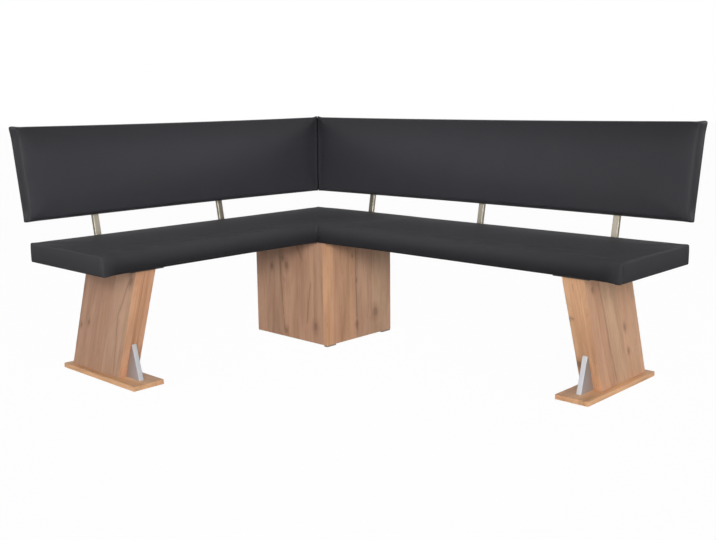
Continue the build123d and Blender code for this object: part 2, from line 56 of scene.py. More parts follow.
# Seats
SEAT_EDGE = 0.492  # floor to the seat's upper edges
SEAT_CORNER_ROUND = 0.005
SEAT_EDGE_ROUND = 0.0065
SEAT_NOSE_DEPTH = 0.034  # the seat's front edge is rounder than its other edges
SEAT_NOSE_HEIGHT = 0.038
SEAT_NOSE_END = 0.06  # it fades out over this length at the free end
SEAT_NOSE_LOW = 0.1  # shares of the seat's thickness between which its depth sets in
SEAT_NOSE_HIGH = 0.6
SEAT_NOSE_STEPS = 6  # mesh steps across it at the seats' inner corner
SEAT_FRONT_START = 0.10  # the front's form sets in this far behind the front
SEAT_FRONT_FULL = 0.045
SEAT_FOOT_ROUND = 0.0025
SEAT_TUCK = 0.0065  # how far the cover is drawn in under the front
SEAT_TUCK_START = 0.01  # distances from the free end between which this sets in
SEAT_TUCK_FULL = 0.10
SEAT_TUCK_CORNER = 0.35  # it fades out over this length at the seats' joint
SEAT_DRAW = 0.002
SEAT_CROWN = 0.003
SEAT_SWELL = 0.006
SEAT_CALM = 0.20  # the seats' swelling fades out over this length at their joint
SEAT_GROOVE_WIDTH = 0.008  # groove between the two seats' fronts
SEAT_GROOVE_DEPTH = 0.004
SEAT_GROOVE_REACH = 0.04  # how far behind the front the groove begins
SEAT_HEM = 0.028  # cover turned under the board
SEAT_LINING = 0.0006  # cover under the board
SEAT_END_SAG = 0.002  # how far the folded cover hangs below the board at the free end
SEAT_SAG_START = 0.05  # distances from the free end between which this sets in
SEAT_SAG_FULL = 0.01
SEAT_FOLD_INSET = 0.015  # fold in the end's cover, behind the front corner
SEAT_FOLD_WIDTH = 0.0036
SEAT_FOLD_DEPTH = 0.011
SEAT_FOLD_START = 0.02  # distances from the free end between which the fold sets in
SEAT_FOLD_FULL = 0.006
SEAT_FOLD_TOP = 0.004  # depths below the seat's edge between which the fold sets in
SEAT_FOLD_FOOT = 0.022
PLEAT_OFFSET = 0.0085  # ridge of doubled cover, in front of the fold
PLEAT_WIDTH = 0.008
PLEAT_HEIGHT = 0.0016
BULGE = 0.003  # how far the folded cover stands out at the front corner's foot
BULGE_REACH = 0.03
BULGE_TOP = 0.55  # shares of the seat's thickness, from its edge down, between which it sets in
BULGE_FULL = 0.95
RIPPLE_HEIGHT = 0.0036  # uneven padding along a seat's front
RIPPLE_LENGTH = 0.11
RIPPLE_WIDTH = 0.035
RIPPLE_REACH = 0.16  # how far behind the front it shows
RIPPLE_START = 0.02  # distances from the free end between which it sets in
RIPPLE_FULL = 0.10

# Backs, leaning backwards
BACK_TILT = radians(10)
BACK_FOOT = 0.565  # floor to the back's lower front edge
BACK_SETBACK = 0.020
BACK_HEIGHT = 0.343
BACK_THICKNESS = 0.054
BACK_CORNER_ROUND = 0.010
BACK_END_ROUND = 0.024  # how far in the front turns round to the free end
BACK_END_EDGE = 0.006
BACK_TURN_REAR = 0.3  # shares of the thickness between which this turn sets in
BACK_TURN_FRONT = 0.9
BACK_TURN_START = 0.03  # shares of the height, from both edges, between which it sets in
BACK_TURN_FULL = 0.15
BACK_TOP_ROUND = 0.008
BACK_FOOT_ROUND = 0.014
BACK_TIP_ROUND = 0.004  # the lower edge's round at the back's free end
BACK_TIP_REACH = 0.06  # length over which it grows to the round of the rest
BACK_REAR_ROUND = 0.004
BACK_DRAW = 0.003
BACK_CROWN = 0.004
BACK_SWELL = 0.013
BACK_CALM = 0.04  # the backs' swelling fades out over this length at their mitre
MITRE_GAP = 0.0001
MITRE_ROUND = 0.0012
REAR_COVER = 0.0035
REAR_COVER_INSET = 0.009
REAR_COVER_ROUND = 0.0012
REAR_COVER_STEP = 0.0015  # how far the rear cover stands behind the pad's border

# Legs
LEG_SHIFT = 0.145  # how far a leg's top lies in front of its foot
LEG_HEIGHT = 0.403
LEG_DEPTH = 0.306

# Pad meshes
PAD_CELL = 0.0105
FEWEST_CELLS = 4
NEARLY_NOTHING = 1e-6
PAD_CROWDING = 0.72  # how much closer the mesh lines lie at a pad's edges
CROWN_AT_ENDS = 0.4  # share of the crown that is left at a pad's ends
FACING_DOWN = -0.9  # a face with a lower z in its normal belongs to the underside
SWELL_FRAMES = 20
SWELL_PRESSURE = 4

# Camera, measured from the seat's rear corner on the floor
CAMERA_PLACE = Vector((3.1530, -3.0630, 0.9959))
CAMERA_HEADING = radians(133.468)
CAMERA_PITCH = radians(-10.414)
CAMERA_ROLL = radians(-0.6035)
FOCAL_PIXELS = 947.38
IMAGE_WIDTH = 716


class Wing:
    """One wing of the bench."""

    def __init__(self, name, along, front):
        self.name = name
        self.along = Vector(along)
        self.front = Vector(front)
        self.seat_start, self.seat_end = self.reach(f"{name}_seat_cushion")
        self.back_end = self.reach(f"{name}_back_cushion")[1]

    def reach(self, node):
        """Where a node starts and ends along this wing."""
        places = [(corner - CORNER).dot(self.along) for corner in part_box(node)]
        return min(places), max(places)

    def seat_frame(self):
        """From a seat pad's own axes, along, forward and up from its edges, to the bench's."""
        return self.axes(self.front, UP, CORNER + UP * SEAT_EDGE)

    def back_frame(self):
        """From a back pad's own axes, along, up its slope and out of its front, to the bench's."""
        slope = UP * cos(BACK_TILT) - self.front * sin(BACK_TILT)
        out = self.front * cos(BACK_TILT) + UP * sin(BACK_TILT)
        return self.axes(slope, out, CORNER - self.front * BACK_SETBACK + UP * BACK_FOOT)

    def axes(self, across, out, place):
        turned = Matrix((self.along, across, out)).transposed().to_4x4()
        turned.translation = place
        return turned


LONG = Wing("long", (1, 0, 0), (0, -1, 0))
SHORT = Wing("short", (0, -1, 0), (1, 0, 0))
WINGS = (LONG, SHORT)


# Finishes


class Wire:
    """A node's output. Arithmetic on wires adds Math nodes to their tree."""

    def __init__(self, nodes, socket):
        self.nodes = nodes
        self.socket = socket

    def math(self, operation, *values):
        return self.nodes.add("ShaderNodeMath", {"operation": operation}, dict(enumerate(values)))

    def __add__(self, other):
        return self.math("ADD", self, other)

    __radd__ = __add__

    def __sub__(self, other):
        return self.math("SUBTRACT", self, other)

    def __rsub__(self, other):
        return self.math("SUBTRACT", other, self)

    def __mul__(self, other):
        return self.math("MULTIPLY", self, other)

    def __truediv__(self, other):
        return self.math("DIVIDE", self, other)

    def __gt__(self, other):
        return self.math("GREATER_THAN", self, other)

    def __lt__(self, other):
        return self.math("LESS_THAN", self, other)

    def __abs__(self):
        return self.math("ABSOLUTE", self)

    def floor(self):
        return self.math("FLOOR", self)

    def fraction(self):
        return self.math("FRACT", self)

    def at_most(self, other):
        return self.math("MINIMUM", self, other)

    def between(self, low, high):
        """0 below low, 1 above high and a smooth step between them."""
        settings = {"interpolation_type": "SMOOTHSTEP"}
        sockets = {"Value": self, "From Min": low, "From Max": high}
        return self.nodes.add("ShaderNodeMapRange", settings, sockets)


class Nodes:
    """A node tree of a material or of the world."""

    def __init__(self, owner):
        owner.use_nodes = True
        self.tree = owner.node_tree

    def add(self, kind, settings=None, sockets=None, output=0):
        """Add a node: its settings, then the values or wires of its sockets."""
        node = self.tree.nodes.new(kind)
        for name, value in (settings or {}).items():
            if name == "stops":
                self.set_stops(node.color_ramp, value)
            else:
                setattr(node, name, value)
        for name, value in (sockets or {}).items():
            self.plug(node.inputs[name], value)
        return Wire(self, node.outputs[output])

    def set_stops(self, ramp, stops):
        while len(ramp.elements) < len(stops):
            ramp.elements.new(1)
        for element, (place, colour) in zip(ramp.elements, stops):
            element.position = place
            element.color = (*colour, 1)

    def plug(self, socket, value):
        if isinstance(value, Wire):
            self.tree.links.new(value.socket, socket)
        else:
            socket.default_value = value


class Finish(Nodes):
    """A material, built from a Principled shader's fixed values and added nodes."""

    def __init__(self, name, **fixed):
        self.material = bpy.data.materials.new(name)
        super().__init__(self.material)
        self.shader = self.tree.nodes["Principled BSDF"]
        for socket, value in fixed.items():
            self.shader.inputs[socket.replace("_", " ")].default_value = value

    def set(self, **wires):
        """Feed the shader's own sockets."""
        for socket, wire in wires.items():
            self.plug(self.shader.inputs[socket.replace("_", " ")], wire)

    def place(self, **mapping):
        """The piece's own coordinates, turned, shifted or stretched."""
        coordinates = self.add("ShaderNodeTexCoord", output="Object")
        return self.stretch(coordinates, **mapping) if mapping else coordinates

    def stretch(self, vector, **mapping):
        return self.add("ShaderNodeMapping", {}, {"Vector": vector, **mapping})

    def part(self, vector, axis):
        return self.add("ShaderNodeSeparateXYZ", {}, {"Vector": vector}, output=axis)

    def noise(self, vector, scale=1.0, detail=2.0, roughness=0.5, distortion=0.0):
        sockets = {
            "Vector": vector,
            "Scale": scale,
            "Detail": detail,
            "Roughness": roughness,
            "Distortion": distortion,
        }
        return self.add("ShaderNodeTexNoise", {}, sockets)

    def mix(self, factor, first, second, blend="MIX"):
        """A colour between two colours, or a blend of them."""
        settings = {"data_type": "RGBA", "blend_type": blend}
        return self.add("ShaderNodeMix", settings, {0: factor, 6: first, 7: second}, output=2)

    def ramp(self, factor, stops):
        return self.add("ShaderNodeValToRGB", {"stops": stops}, {"Fac": factor})

    def bump(self, height, distance, strength=1.0):
        sockets = {"Height": height, "Distance": distance, "Strength": strength}
        return self.add("ShaderNodeBump", {}, sockets)


def rgb(red, green, blue):
    return (red, green, blue, 1)


LEATHER_DARK = rgb(0.029, 0.029, 0.032)
LEATHER_LIGHT = rgb(0.035, 0.035, 0.038)
LEATHER_PIT = rgb(0.014, 0.014, 0.016)  # between the pebbles
# Painted shade: the dark colour the leather is mixed towards where shade is painted into it.
PAINTED_SHADE = rgb(0.010, 0.010, 0.011)
END_PAINTED_SHADE_FULL = 0.002  # the painted shade's change at a free end is full this near to it


def leather(name, tone, roughness, gloss, dark_end, light_end, free_ends, painted_end_shade):
    """Matt anthracite faux leather with a fine pebbled grain, and painted shade that darkens it towards one
    height.

    The painted shade's dark end is a height and how dark it gets there, the light end is the height where
    that ends.
    Near the free ends, at an x and a y, the painted shade changes to a value, within a reach and by a
    share.
    """
    finish = Finish(name, Specular_IOR_Level=gloss)
    place = finish.place()
    pebbles = finish.add(
        "ShaderNodeTexVoronoi", {"feature": "F1"}, {"Vector": place, "Scale": 620}, output="Distance"
    )
    creases = finish.noise(place, scale=240, detail=4, roughness=0.6)
    mottle = finish.noise(place, scale=7, detail=3)
    wear = finish.noise(place, scale=60, detail=2)
    colour = finish.mix(mottle, LEATHER_DARK, LEATHER_LIGHT)
    colour = finish.mix(pebbles * 0.45, colour, LEATHER_PIT)
    colour = finish.mix(1.0, colour, rgb(*tone), "MULTIPLY")

    # Painted shade: darker towards one height and changed near the free ends, standing in for how light
    # falls.
    (dark_height, depth), light_height = dark_end, light_end
    height = finish.part(place, "Z")
    shade = height.between(min(dark_height, light_height), max(dark_height, light_height))
    shade = shade if dark_height > light_height else 1 - shade
    end_x, end_y = free_ends
    end_value, reach, share = painted_end_shade
    past_x = finish.part(place, "X") - end_x
    past_y = end_y - finish.part(place, "Y")
    for past in (past_x, past_y):
        shade = shade + (end_value - shade) * past.between(-reach, -END_PAINTED_SHADE_FULL) * share

    finish.set(
        Base_Color=finish.mix(shade * depth, colour, PAINTED_SHADE),
        Roughness=roughness + wear * 0.08,
        Normal=finish.bump(pebbles * 0.6 + creases * 0.8, 0.00025, 0.6),
    )
    return finish.material


def dust_cloth(name):
    """Black felted cloth under the seats."""
    finish = Finish(name, Roughness=0.95, Specular_IOR_Level=0.15)
    place = finish.place()
    fibres = finish.noise(place, scale=900, detail=4, roughness=0.7)
    colour = finish.mix(fibres, rgb(0.006, 0.006, 0.007), rgb(0.020, 0.020, 0.021))
    finish.set(Base_Color=colour, Normal=finish.bump(fibres, 0.0003, 0.7))
    return finish.material


BOARD_WIDTH = 0.094
BOARD_WANDER = 0.012  # how far the joints between boards wander
OAK_FIGURE = (
    (0.26, (0.400, 0.228, 0.134)),
    (0.42, (0.530, 0.320, 0.200)),
    (0.55, (0.615, 0.380, 0.242)),
    (0.74, (0.690, 0.438, 0.283)),
)
OAK_WARMTH = (
    (0.0, (0.95, 0.92, 0.92)),
    (0.35, (1.05, 0.98, 0.94)),
    (0.7, (0.99, 1.01, 0.98)),
    (1.0, (1.06, 1.03, 1.02)),
)
OAK_BLUSH = rgb(0.50, 0.265, 0.165)
OAK_STREAK = rgb(0.36, 0.20, 0.115)
OAK_PORE = rgb(0.27, 0.145, 0.08)
OAK_FLECK = rgb(0.30, 0.165, 0.09)
OAK_BAND = rgb(0.36, 0.175, 0.085)
OAK_JOINT = rgb(0.25, 0.135, 0.075)
KNOT_RING = rgb(0.29, 0.150, 0.088)
KNOT_HEART = rgb(0.17, 0.088, 0.050)
KNOT_STRETCH = 1.7  # a knot's length over its width
KNOT_UNEVENNESS = 1.6
CRACK_STAIN = rgb(0.29, 0.155, 0.09)
CRACK_SPLIT = rgb(0.15, 0.08, 0.048)
CRACK_WANDER = 0.030
CRACK_FADE = 0.03  # length over which a crack's ends fade out


def board_place(finish, origin, across, grain, into):
    """Coordinates on a panel from an origin: across the boards, into them and along the grain."""
    place = finish.add("ShaderNodeTexCoord", output="Object")
    away = finish.add("ShaderNodeVectorMath", {"operation": "SUBTRACT"}, {0: place, 1: origin})
    parts = {}
    for name, axis in zip("XYZ", (across, into, grain)):
        sockets = {0: away, 1: axis}
        parts[name] = finish.add("ShaderNodeVectorMath", {"operation": "DOT_PRODUCT"}, sockets, "Value")
    return parts["X"], parts["Z"], finish.add("ShaderNodeCombineXYZ", {}, parts)


def knot_at(across, along, rough, spot):
    """How far a place is from a knot's middle, unevenly: 0 there and 1 at the knot's radius."""
    place_across, place_along, radius = spot
    aside = (across - place_across) / radius
    beyond = (along - place_along) / (radius * KNOT_STRETCH)
    return (aside * aside + beyond * beyond) + (rough - 0.5) * KNOT_UNEVENNESS


def crack_at(across, along, wander, line):
    """Distance from a crack that wanders between two places, and its strength along its length."""
    low_across, low, high_across, high, strength = line
    slope = (high_across - low_across) / (high - low)
    middle = (along - low) * slope + low_across + (wander - 0.5) * CRACK_WANDER
    within = (along - low).between(0, CRACK_FADE) * (high - along).between(0, CRACK_FADE)
    return abs(across - middle), within * strength


def oak(
    name, origin, across, grain, seed, into=None, tint=(1, 1, 1), knots=(), cracks=(), edges=(), stripes=0
):
    """Wild oak: boards side by side, with streaks along the grain, pores, cracks and knots."""
    finish = Finish(name, Specular_IOR_Level=0.35)
    into = into or across.cross(grain).normalized()
    aside, along, place = board_place(finish, origin, across, grain, into)
    seeded = finish.stretch(place, Location=(seed, seed, seed * 0.7))
    wander = finish.noise(finish.stretch(seeded, Scale=(4, 4, 4)), detail=3, roughness=0.6)
    course = (aside + (wander - 0.5) * BOARD_WANDER) / BOARD_WIDTH + seed
    board = course.floor()
    shade = finish.add("ShaderNodeTexWhiteNoise", {"noise_dimensions": "1D"}, {"W": board + seed})
    slide = finish.add("ShaderNodeCombineXYZ", {}, {"X": board * 0.37, "Y": board * 0.53, "Z": shade * 2})
    laid = finish.add("ShaderNodeVectorMath", {"operation": "ADD"}, {0: seeded, 1: slide})

    drawn_out = finish.stretch(laid, Scale=(15, 15, 1.9))
    figure = finish.noise(drawn_out, detail=5, roughness=0.6, distortion=0.6)
    blush = finish.noise(finish.stretch(laid, Scale=(9, 9, 3.2)), detail=2)
    streaks = finish.noise(finish.stretch(laid, Scale=(150, 150, 4.5)), detail=4, roughness=0.65)
    pores = finish.noise(finish.stretch(laid, Scale=(620, 620, 20)), detail=2).between(0.56, 0.70)
    fleck = finish.noise(finish.stretch(laid, Scale=(70, 70, 14)), detail=2).between(0.66, 0.74)

    colour = finish.ramp(figure, OAK_FIGURE)
    warmth = finish.ramp(shade, OAK_WARMTH)
    colour = finish.mix(1.0, colour, warmth, "MULTIPLY")
    colour = finish.mix(blush.between(0.48, 0.72) * 0.45, colour, OAK_BLUSH)
    colour = finish.mix((1 - streaks.between(0.34, 0.52)) * 0.32, colour, OAK_STREAK)
    colour = finish.mix(pores * 0.26, colour, OAK_PORE)
    colour = finish.mix(fleck * 0.30, colour, OAK_FLECK)

    if stripes:
        bands = finish.noise(finish.stretch(laid, Scale=(85, 85, 1.3)), detail=3, roughness=0.55)
        colour = finish.mix(bands.between(0.50, 0.62) * stripes, colour, OAK_BAND)
    joint = abs(course.fraction() - 0.5).between(0.482, 0.499)
    colour = finish.mix(joint * 0.25, colour, OAK_JOINT)
    relief = streaks * 0.35 - pores * 0.5 - joint
    for spot in knots:
        ring = knot_at(aside, along, finish.noise(laid, scale=55, detail=3), spot)
        colour = finish.mix((1 - ring.between(0.4, 7.0)) * 0.38, colour, KNOT_RING)
        colour = finish.mix((1 - ring.between(0.2, 1.5)) * 0.45, colour, KNOT_HEART)
    tears = finish.noise(finish.stretch(seeded, Scale=(40, 40, 26)), detail=2)
    for line in cracks:
        distance, within = crack_at(aside, along, wander, line)
        stain = (1 - distance.between(0.001, 0.013)) * within
        split = (1 - distance.between(0.0006, 0.0028)) * within * tears.between(0.32, 0.48)
        colour = finish.mix(stain * 0.30, colour, CRACK_STAIN)
        colour = finish.mix(split * 0.62, colour, CRACK_SPLIT)
        relief = relief - split * 1.5
    colour = finish.mix(1.0, colour, rgb(*tint), "MULTIPLY")
    for low, high, edge_tint in edges:
        on_edge = (aside > low) * (aside < high)
        colour = finish.mix(on_edge, colour, finish.mix(1.0, colour, rgb(*edge_tint), "MULTIPLY"))

    finish.set(
        Base_Color=colour,
        Roughness=0.50 + pores * 0.18 - figure * 0.06,
        Normal=finish.bump(relief, 0.0004, 0.55),
    )
    return finish.material


def brushed(name, base, dark, turn=(0, 0, 0), roughness=0.30):
    """Metal brushed along one direction."""
    finish = Finish(name, Metallic=1.0)
    place = finish.place(Rotation=turn)
    lines = finish.noise(finish.stretch(place, Scale=(1500, 1500, 14)), detail=3, roughness=0.6)
    cloud = finish.noise(place, scale=22, detail=2)
    finish.set(
        Base_Color=finish.mix(lines * 0.6 + cloud * 0.3, rgb(*base), rgb(*dark)),
        Roughness=roughness + lines * 0.14 + cloud * 0.05,
        Normal=finish.bump(lines, 0.00008, 0.5),
    )
    return finish.material


def plated(name):
    """Zinc plating with a faint yellow bloom."""
    finish = Finish(name, Metallic=1.0)
    place = finish.place()
    bloom = finish.noise(place, scale=260, detail=3)
    finish.set(
        Base_Color=finish.mix(bloom, rgb(0.62, 0.60, 0.54), rgb(0.50, 0.49, 0.47)),
        Roughness=0.30 + bloom * 0.16,
    )
    return finish.material


def black_paint(name):
    """Black powder coated steel with a slight orange peel."""
    finish = Finish(name)
    place = finish.place()
    peel = finish.noise(place, scale=420, detail=2)
    finish.set(
        Base_Color=finish.mix(peel, rgb(0.008, 0.008, 0.008), rgb(0.016, 0.016, 0.016)),
        Roughness=0.48 + peel * 0.12,
        Normal=finish.bump(peel, 0.0001, 0.4),
    )
    return finish.material


def chipboard(name):
    """Raw particle board: pressed chips of several browns."""
    finish = Finish(name, Specular_IOR_Level=0.2)
    place = finish.place()
    chips = finish.add("ShaderNodeTexVoronoi", {}, {"Vector": place, "Scale": 330}, output="Color")
    pick = finish.add("ShaderNodeSeparateColor", {}, {"Color": chips}, output=0)
    dust = finish.noise(place, scale=1200, detail=3)
    colour = finish.ramp(
        pick,
        [(0.0, (0.28, 0.18, 0.10)), (0.5, (0.42, 0.30, 0.19)), (1.0, (0.55, 0.42, 0.28))],
    )
    finish.set(
        Base_Color=finish.mix(dust * 0.4, colour, rgb(0.34, 0.23, 0.14)),
        Roughness=0.85 + dust * 0.1,
        Normal=finish.bump(pick + dust * 0.5, 0.0003, 0.5),
    )
    return finish.material


def softwood(name):
    """Planed pine with growth rings."""
    finish = Finish(name, Specular_IOR_Level=0.3)
    place = finish.place()
    sway = finish.noise(place, scale=5, detail=2)
    rings = finish.add(
        "ShaderNodeTexWave",
        {"wave_type": "BANDS", "bands_direction": "DIAGONAL"},
        {"Vector": place, "Scale": 34, "Distortion": 5.0, "Detail": 2.0},
        output="Fac",
    )
    fibres = finish.noise(finish.stretch(place, Scale=(300, 300, 12)), detail=3)
    colour = finish.mix(rings * 0.7 + sway * 0.2, rgb(0.68, 0.52, 0.33), rgb(0.50, 0.32, 0.16))
    finish.set(
        Base_Color=finish.mix(fibres * 0.25, colour, rgb(0.45, 0.30, 0.17)),
        Roughness=0.62 + fibres * 0.15,
        Normal=finish.bump(rings * 0.4 + fibres * 0.6, 0.0002, 0.4),
    )
    return finish.material


def felt(name):
    """Grey brown felt of the glides."""
    finish = Finish(name, Specular_IOR_Level=0.25)
    fibres = finish.noise(finish.place(), scale=1400, detail=4, roughness=0.7)
    finish.set(
        Base_Color=finish.mix(fibres, rgb(0.17, 0.14, 0.115), rgb(0.27, 0.225, 0.19)),
        Roughness=0.75 + fibres * 0.2,
        Normal=finish.bump(fibres, 0.0002, 0.6),
    )
    return finish.material


# Soft pieces


def ease(share, crowding):
    """A share of a pad's length, moved so that mesh lines crowd towards both ends."""
    return share - crowding * sin(2 * pi * share) / (2 * pi)


def grid_block(size, cuts=()):
    """A closed block of quads from 0 to 1 along each axis, with more cuts across its length.

    The mesh lines lie about one pad cell apart, and closer at the ends.
    """
    block = bmesh.new()
    bmesh.ops.create_cube(block, size=1, matrix=Matrix.Translation((0.5, 0.5, 0.5)))
    for axis, length in enumerate(size):
        cells = max(FEWEST_CELLS, round(length / PAD_CELL))
        edges = [edge for edge in block.edges if edge.verts[0].co[axis] != edge.verts[1].co[axis]]
        bmesh.ops.subdivide_edges(block, edges=edges, cuts=cells - 1, use_grid_fill=True)
    for vert in block.verts:
        vert.co = Vector([ease(share, PAD_CROWDING) for share in vert.co])
    for cut in cuts:
        pieces = block.verts[:] + block.edges[:] + block.faces[:]
        plane = {"plane_co": (cut, 0, 0), "plane_no": (1, 0, 0)}
        bmesh.ops.bisect_plane(block, geom=pieces, dist=NEARLY_NOTHING, **plane)
    return block


def rounded(place, size, low_round, high_round):
    """A point of a block's surface, moved in so that the block's edges are round."""
    inner = Vector(
        [min(max(p, low), s - high) for p, s, low, high in zip(place, size, low_round, high_round)]
    )
    away = place - inner
    reach = Vector([(high if a > 0 else low) for a, low, high in zip(away, low_round, high_round)])
    share = Vector([a / r if r else 0 for a, r in zip(away, reach)])
    if share.length > 1:
        share.normalize()
    return inner + Vector([s * r for s, r in zip(share, reach)])


def new_piece(name, block, matrix, material):
    """A finished mesh as a piece of the bench, riding on its body."""
    bmesh.ops.transform(block, matrix=matrix, verts=block.verts)
    bmesh.ops.recalc_face_normals(block, faces=block.faces)
    mesh = bpy.data.meshes.new(name)
    block.to_mesh(mesh)
    block.free()
    mesh.materials.append(material)
    mesh.shade_smooth()
    piece = bpy.data.objects.new(name, mesh)
    bpy.context.scene.collection.objects.link(piece)
    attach(piece, "root")
    return piece


def step(value, low, high):
    """0 below low, 1 above high and a smooth step between them."""
    share = min(1.0, max(0.0, (value - low) / (high - low)))
    return share * share * (3 - 2 * share)


def seat_calm(wing, along, forward):
    """0 at the joint between the seats, 1 away from it."""
    beyond = along - SEAT_DEPTH
    if wing is LONG:
        return step(beyond, 0.0, SEAT_CALM)
    return step(Vector((max(0.0, beyond), SEAT_DEPTH - forward)).length, 0.0, SEAT_CALM)


def crown_share(middle):
    """How much of a pad's crown is left at a place that is 0 at its ends and 1 in its middle."""
    return CROWN_AT_ENDS + (1 - CROWN_AT_ENDS) * middle


def nose_drop(inward):
    """How far the nose lies below the seat's edge, at a distance in from the front."""
    share = min(1.0, max(0.0, 1 - inward / SEAT_NOSE_DEPTH))
    return SEAT_NOSE_HEIGHT * (1 - sqrt(1 - share * share))


def sharpen_joint(block, wing, inner_corner):
    """Keep a seat's upper edges sharp where it butts against the other seat."""
    crease = block.edges.layers.float.new("crease_edge")
    if wing is LONG:
        beside = {vert for vert in block.verts if vert.co.x == 0 and 1 in (vert.co.y, vert.co.z)}
    else:
        beside = {vert for vert in block.verts if vert.co.x <= inner_corner and vert.co.y == vert.co.z == 1}
    for edge in block.edges:
        if beside.issuperset(edge.verts):
            edge[crease] = 1.0
            edge.smooth = False


def seat_block(wing):
    """The seat pad before it swells: rounded, drawn in along its sides and full at the front."""
    start = SEAT_DEPTH if wing is LONG else wing.seat_start
    length = wing.seat_end - start
    thickness = SEAT_EDGE - SEAT_UNDERSIDE + SEAT_LINING
    size = Vector((length, SEAT_DEPTH, thickness))
    start_round = 0 if wing is LONG else SEAT_CORNER_ROUND
    inner_corner = (SEAT_DEPTH - start) / length
    cuts = []
    if wing is SHORT:
        for number in range(SEAT_NOSE_STEPS + 2):
            cuts.append(inner_corner - SEAT_NOSE_DEPTH / length * number / SEAT_NOSE_STEPS)
    block = grid_block(size, cuts)
    sharpen_joint(block, wing, inner_corner + NEARLY_NOTHING)
    for vert in block.verts:
        share_along, share_across, share_up = vert.co
        place = Vector([c * s for c, s in zip(vert.co, size)])
        from_corner = start + place.x - SEAT_DEPTH
        from_end = length - place.x
        near_front = step(place.y, SEAT_DEPTH - SEAT_FRONT_START, SEAT_DEPTH - SEAT_FRONT_FULL)
        nose = near_front * step(from_end, 0.0, SEAT_NOSE_END)
        edge = SEAT_EDGE_ROUND + nose * (SEAT_NOSE_HEIGHT - SEAT_EDGE_ROUND)
        upper = step(share_up, SEAT_NOSE_LOW, SEAT_NOSE_HIGH)
        depth = SEAT_FOOT_ROUND + (SEAT_NOSE_DEPTH - SEAT_FOOT_ROUND) * upper
        beside_joint = from_corner < NEARLY_NOTHING and wing is SHORT
        if beside_joint:
            edge = SEAT_EDGE_ROUND
            depth = 0
        low_round = (start_round, SEAT_CORNER_ROUND, SEAT_FOOT_ROUND)
        x, y, z = rounded(place, size, low_round, (SEAT_CORNER_ROUND, depth, edge))
        if beside_joint:
            z -= share_up * min(nose_drop(SEAT_DEPTH - place.y), nose_drop(-from_corner))
        middle = 4 * share_along * (1 - share_along)
        hump = 4 * share_across * (1 - share_across)
        away = step(from_corner, 0.0, SEAT_TUCK_CORNER)
        off_end = step(from_end, SEAT_TUCK_START, SEAT_TUCK_FULL)
        rear_pull = SEAT_DRAW * middle * max(0.0, 1 - 2 * share_across)
        tuck = SEAT_TUCK * near_front * (1 - share_up) ** 2 * off_end * away
        groove = step(1 - place.x / SEAT_GROOVE_WIDTH, 0.0, 1.0) if wing is LONG else 0.0
        groove *= step(place.y, SEAT_DEPTH - SEAT_GROOVE_REACH, SEAT_DEPTH)
        y += rear_pull - tuck - SEAT_GROOVE_DEPTH * groove
        calm = seat_calm(wing, start + place.x, place.y)
        z += share_up * SEAT_CROWN * hump * crown_share(middle) * calm
        near_end = step(place.x, length - SEAT_SAG_START, length - SEAT_SAG_FULL)
        z -= SEAT_END_SAG * near_end * (1 - share_up)
        vert.co = Vector((start + x, y, z - thickness))
    return block


def back_block(wing):
    """The back pad before it swells, with its inner end cut to the mitre."""
    start = -BACK_SETBACK
    length = wing.back_end - start
    thickness = BACK_THICKNESS - REAR_COVER_STEP
    size = Vector((length, BACK_HEIGHT, thickness))
    block = grid_block(size)
    for vert in block.verts:
        share_along, share_up, share_out = vert.co
        place = Vector([c * s for c, s in zip(vert.co, size)])
        full = step(length - place.x, 0.0, BACK_TIP_REACH)
        foot = BACK_TIP_ROUND + full * (BACK_FOOT_ROUND - BACK_TIP_ROUND)
        turning = step(share_out, BACK_TURN_REAR, BACK_TURN_FRONT)
        for from_edge in (share_up, 1 - share_up):
            turning *= step(from_edge, BACK_TURN_START, BACK_TURN_FULL)
        end_round = BACK_END_EDGE + turning * (BACK_END_ROUND - BACK_END_EDGE)
        high_round = (end_round, BACK_TOP_ROUND, BACK_CORNER_ROUND)
        x, y, z = rounded(place, size, (MITRE_ROUND, foot, BACK_REAR_ROUND), high_round)
        middle = 4 * share_along * (1 - share_along)
        hump = 4 * share_up * (1 - share_up)
        y += BACK_DRAW * middle * (1 - 2 * share_up)
        z += share_out * BACK_CROWN * hump * crown_share(middle) - thickness
        mitre = z * cos(BACK_TILT) - y * sin(BACK_TILT) - BACK_SETBACK + MITRE_GAP
        vert.co = Vector((mitre + (wing.back_end - mitre) * x / length, y, z))
    return block


def hold(pad, frame_matrix, depth):
    """Pin a pad's underside, more loosely up its sides, so that only its face swells."""
    group = pad.vertex_groups.new(name="held")
    into_pad = frame_matrix.inverted()
    for vert in pad.data.vertices:
        share = min(1.0, max(0.0, 1 + (into_pad @ vert.co).z / depth))
        group.add([vert.index], 1 - share**3, "REPLACE")
    return group.name


def add_cloth(pad, held):
    """Let a pad swell under pressure, except where it is held."""
    cloth = pad.modifiers.new("Swell", "CLOTH")
    settings = cloth.settings
    settings.quality = 6
    settings.mass = 0.3
    settings.tension_stiffness = 25
    settings.compression_stiffness = 25
    settings.shear_stiffness = 12
    settings.bending_stiffness = 2.5
    settings.use_pressure = True
    settings.uniform_pressure_force = SWELL_PRESSURE
    settings.vertex_group_mass = held
    settings.effector_weights.gravity = 0
    cloth.collision_settings.use_collision = False
    cloth.collision_settings.use_self_collision = False
    cloth.point_cache.frame_start = 1
    cloth.point_cache.frame_end = SWELL_FRAMES


def back_calm(along, up, out):
    """0 at the mitre between the backs, 1 away from it."""
    mitre = out * cos(BACK_TILT) - up * sin(BACK_TILT) - BACK_SETBACK
    return step(along - mitre, 0.0, BACK_CALM)


def pad_calms(wing):
    """How freely a wing's seat and its back swell at a place: two functions, from 0 to 1."""
    into_seat = wing.seat_frame().inverted()
    into_back = wing.back_frame().inverted()

    def on_seat(place):
        along, forward = (into_seat @ place).xy
        return seat_calm(wing, along, forward)

    def on_back(place):
        along, up, out = into_back @ place
        return back_calm(along, up, out)

    return on_seat, on_back


